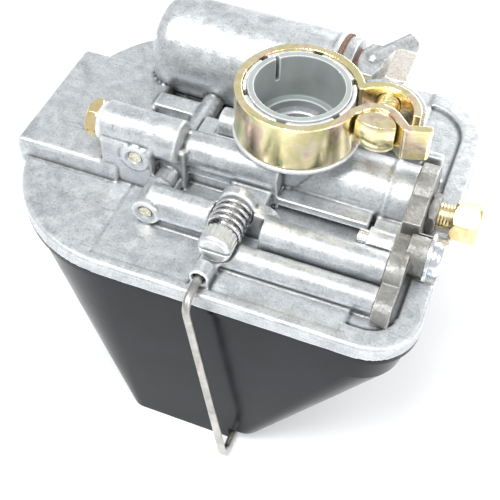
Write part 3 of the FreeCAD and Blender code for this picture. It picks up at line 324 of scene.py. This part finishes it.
def nylon():
    """Milky nylon that lets a little light in."""
    look = Look("nylon", IOR=1.52, Subsurface_Weight=0.25, Subsurface_Scale=1.2 * MM)
    cloud = look.noise(4.0, detail=3)
    base = look.blend(cloud, (0.25, 0.28, 0.27), (0.37, 0.40, 0.39))
    look.color(look.blend(look.edges(0.51, 0.56), base, (0.78, 0.80, 0.82)))
    look.roughness(cloud, 0.30, 0.44)
    look.bump(look.noise(0.8, detail=3), 0.03, 0.4)
    return look.material


def glossy_plastic():
    """Black moulded plastic with a faint orange peel, dust and hairline scuffs."""
    look = Look("glossy_plastic", IOR=1.45, Specular_IOR_Level=0.22)
    dust = look.noise(0.4, detail=4)
    haze = look.noise(14.0, detail=4, distortion=0.6)
    base = look.blend(look.span(haze, 0.3, 0.7, 0, 1), (0.004, 0.005, 0.007), (0.010, 0.012, 0.016))
    look.color(look.blend(look.span(dust, 0.68, 0.80, 0, 0.6), base, (0.10, 0.10, 0.11)))
    look.roughness(haze, 0.14, 0.27)
    scuffs = look.noise(1.2, detail=2, stretch=(0.7, 0.7, 0.08), distortion=0.5)
    look.bump(look.noise(1.4, detail=2), 0.02, 0.4)
    look.bump(look.span(scuffs, 0.62, 0.72, 1, 0), 0.01, 0.3)
    return look.material


def dull(name, dark, light, size, roughness, depth):
    """Fibre, foam and other dull matter."""
    look = Look(name)
    grain = look.noise(size, detail=5)
    look.color(look.blend(look.span(grain, 0.3, 0.7, 0, 1), dark, light))
    look.roughness(grain, roughness, roughness + 0.15)
    look.bump(grain, depth, 0.8)
    return look.material


# ---------------------------------------------------------------- pieces
def softened(node, voxel, relax, uneven=0.0, uneven_size=3.0, extra=None):
    """A copy of a CAD node with small faces and rounded edges, as a casting or a tumbled part has."""
    mesh = NODES[node].data.copy()
    piece = bpy.data.objects.new(node + "_skin", mesh)
    bpy.context.scene.collection.objects.link(piece)
    form = bmesh.new()
    form.from_mesh(mesh)
    form.transform(Matrix.Scale(1 / MM, 4))
    bmesh.ops.remove_doubles(form, verts=form.verts, dist=0.0005)
    if extra:
        extra(form)
    form.to_mesh(mesh)
    form.free()
    skin = piece.modifiers.new("skin", "REMESH")
    skin.mode = "VOXEL"
    skin.voxel_size = voxel
    skin.use_smooth_shade = True
    smooth = piece.modifiers.new("relax", "SMOOTH")
    smooth.factor = 0.5
    smooth.iterations = relax
    if uneven:
        clouds = bpy.data.textures.new(node + "_unevenness", "CLOUDS")
        clouds.noise_scale = uneven_size
        push = piece.modifiers.new("uneven", "DISPLACE")
        push.texture = clouds
        push.texture_coords = "LOCAL"
        push.strength = uneven
    bpy.context.view_layer.update()
    done = bpy.data.meshes.new_from_object(piece.evaluated_get(bpy.context.evaluated_depsgraph_get()))
    piece.modifiers.clear()
    piece.data = done
    done.transform(Matrix.Scale(MM, 4))
    done.materials.clear()
    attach(piece, BODIES[node])
    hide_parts(node)
    return piece


def closing_spring(node):
    """A copy of a CAD spring along X, attached to its body in place of the CAD node."""
    coil = NODES[node]
    piece = bpy.data.objects.new(node + "_coil", coil.data.copy())
    bpy.context.scene.collection.objects.link(piece)
    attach(piece, BODIES[node])
    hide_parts(node)
    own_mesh(piece)
    return piece


def rib(form, center, axis, radius, wire, steps=64, thickness_steps=10):
    """Adds a raised ring of round section to a mesh, in millimetres."""
    middle = Vector(center)
    normal = Vector(axis).normalized()
    first = normal.orthogonal().normalized()
    second = normal.cross(first)
    loops = []
    for i in range(steps):
        angle = 2 * math.pi * i / steps
        out = first * math.cos(angle) + second * math.sin(angle)
        loop = []
        for j in range(thickness_steps):
            turn = 2 * math.pi * j / thickness_steps
            point = middle + out * (radius + wire * math.cos(turn)) + normal * wire * math.sin(turn)
            loop.append(form.verts.new(point))
        loops.append(loop)
    for i in range(steps):
        for j in range(thickness_steps):
            here, there = loops[i], loops[(i + 1) % steps]
            k = (j + 1) % thickness_steps
            form.faces.new((here[j], here[k], there[k], there[j]))


def casting_marks(form):
    """Raised seams round the barrel and near the end of the float chamber."""
    for x, wire in BARREL_SEAMS:
        rib(form, (x, 0, BARREL_Z), (1, 0, 0), BARREL_RADIUS - SEAM_DEPTH, wire)
    place = (CHAMBER_END - 1.0, CHAMBER_Y, CHAMBER_Z)
    rib(form, place, (1, 0, 0), CHAMBER_RADIUS - SEAM_DEPTH, CHAMBER_SEAM)


def bolt_threads(form):
    """Thread crests on the part of the clamp bolt that shows between the ears."""
    crests, pitch, wire = 9, 0.8, 0.26
    for i in range(crests):
        place = (BOLT_X, BOLT_THREAD_START + pitch * i, BOLT_Z)
        rib(form, place, (0, 1, THREAD_LEAN), BOLT_CREST, wire, steps=40, thickness_steps=8)


def adjuster_threads(form):
    """Thread crests on the neck between the locknut and the adjuster's head."""
    crests, pitch, wire = 5, 0.7, 0.24
    for i in range(crests):
        place = (ADJUSTER_NECK_START + pitch * i, ADJUSTER_Y, BARREL_Z)
        rib(form, place, (1, THREAD_LEAN, 0), ADJUSTER_CREST, wire, steps=40, thickness_steps=8)


def paint(piece, material):
    """Gives a piece made here its material."""
    piece.data.materials.clear()
    piece.data.materials.append(material)


def paint_node(node, material):
    """Gives a CAD node its material in place of its plain one."""
    for place in NODES[node].material_slots:
        place.material = material


def make_materials():
    """Every material, by the short name that the lists below use."""
    return {
        "zinc": cast_zinc(),
        "gold": plated("yellow_zinc", ((0.0, (0.66, 0.70, 0.40)), (0.35, (0.90, 0.76, 0.42)),
                                       (0.6, (0.93, 0.84, 0.58)), (0.8, (0.90, 0.66, 0.50)),
                                       (1.0, (0.72, 0.60, 0.52))), 7.0, 0.13, marks=0.01),
        "bright": plated("bright_zinc", ((0.0, (0.60, 0.66, 0.72)), (0.6, (0.78, 0.80, 0.82)),
                                         (1.0, (0.86, 0.86, 0.84))), 3.0, 0.18),
        "satin": plated("satin_zinc", ((0.0, (0.66, 0.68, 0.68)), (0.6, (0.80, 0.81, 0.80)),
                                       (1.0, (0.88, 0.88, 0.86))), 2.5, 0.34),
        "warm": plated("warm_zinc", ((0.0, (0.74, 0.66, 0.56)), (0.5, (0.84, 0.79, 0.72)),
                                     (1.0, (0.70, 0.68, 0.66))), 3.0, 0.24),
        "wire": plated("wire_steel", ((0.0, (0.36, 0.35, 0.32)), (0.6, (0.50, 0.49, 0.46)),
                                      (1.0, (0.60, 0.585, 0.56))), 6.0, 0.30),
        "staked": plated("staked_brass", ((0.0, (0.42, 0.38, 0.27)), (0.6, (0.74, 0.69, 0.54)),
                                          (1.0, (0.85, 0.81, 0.70))), 0.9, 0.28, marks=0.12),
        "spring": plated("spring_steel", ((0.0, (0.50, 0.50, 0.50)), (1.0, (0.76, 0.76, 0.76))), 2.0, 0.20),
        "steel": rough_cast("dark_steel", (0.17, 0.165, 0.155), (0.31, 0.305, 0.29), 0.36),
        "cover": rough_cast("rough_casting", (0.22, 0.215, 0.205), (0.40, 0.395, 0.375), 0.40),
        "union": rough_cast("turned_alloy", (0.36, 0.37, 0.37), (0.54, 0.55, 0.55), 0.30),
        "brass": turned("brass_turned", (0.72, 0.53, 0.25), (0.93, 0.79, 0.47), 0.20),
        "alloy": turned("slide_alloy", (0.42, 0.43, 0.44), (0.66, 0.67, 0.68), 0.26),
        "fibre": dull("fibre", (0.10, 0.045, 0.03), (0.26, 0.14, 0.09), 0.5, 0.6, 0.05),
        "foam": dull("foam", (0.02, 0.02, 0.022), (0.09, 0.09, 0.10), 1.2, 0.8, 0.5),
        "ebonite": dull("float_matter", (0.015, 0.015, 0.015), (0.04, 0.04, 0.04), 0.8, 0.45, 0.03),
        "plastic": glossy_plastic(),
        "nylon": nylon(),
    }


# Small pieces remade with rounded edges: node, material, voxel size in millimetres and smoothing steps.
ROUNDED = (
    ("clamp_band", "gold", 0.17, 4),
    ("clamp_bolt", "gold", 0.12, 2),
    ("insulating_bush", "nylon", 0.18, 4),
    ("clamp_nut", "warm", 0.14, 4),
    ("clamp_washer", "bright", 0.12, 3),
    ("cover_washer", "bright", 0.10, 3),
    ("cover_screw", "bright", 0.12, 3),
    ("adjuster_locknut", "steel", 0.12, 3),
    ("cable_adjuster", "brass", 0.12, 4),
    ("fuel_inlet", "union", 0.18, 4),
    ("bowl_cover", "union", 0.2, 3),
    ("jet_plug", "brass", 0.10, 4),
    ("idle_screw", "satin", 0.09, 2),
)
# Pieces that keep their CAD mesh, by material.
PLAIN = {
    "alloy": ("throttle_slide",),
    "brass": ("jet_needle", "needle_jet", "inlet_strainer", "float_needle", "main_jet"),
    "spring": ("needle_clip", "idle_spring"),
    "fibre": ("bowl_gasket", "inlet_gasket"),
    "union": ("jet_plug_gasket",),
    "staked": ("passage_plugs",),
    "ebonite": ("float",),
    "plastic": ("air_box",),
    "foam": ("air_filter",),
    "wire": ("wire_bail",),
}
THREADS = {"clamp_bolt": bolt_threads, "cable_adjuster": adjuster_threads}


def build():
    """Makes every visible piece and gives it its material."""
    looks = make_materials()
    casting = softened("body_casting", 0.36, 4, uneven=0.12, uneven_size=4.0, extra=casting_marks)
    paint(casting, looks["zinc"])
    for node, look, voxel, relax in ROUNDED:
        paint(softened(node, voxel, relax, extra=THREADS.get(node)), looks[look])
    cover = softened("throttle_cover", 0.16, 4, uneven=0.18, uneven_size=1.1)
    paint(cover, looks["cover"])
    coil = closing_spring("throttle_spring")
    paint(coil, looks["spring"])
    for look, nodes in PLAIN.items():
        for node in nodes:
            paint_node(node, looks[look])


add_camera()
add_world()
for light in LIGHTS:
    add_light(*light)
bpy.context.scene.view_settings.view_transform = "Standard"
build()
add_floor()
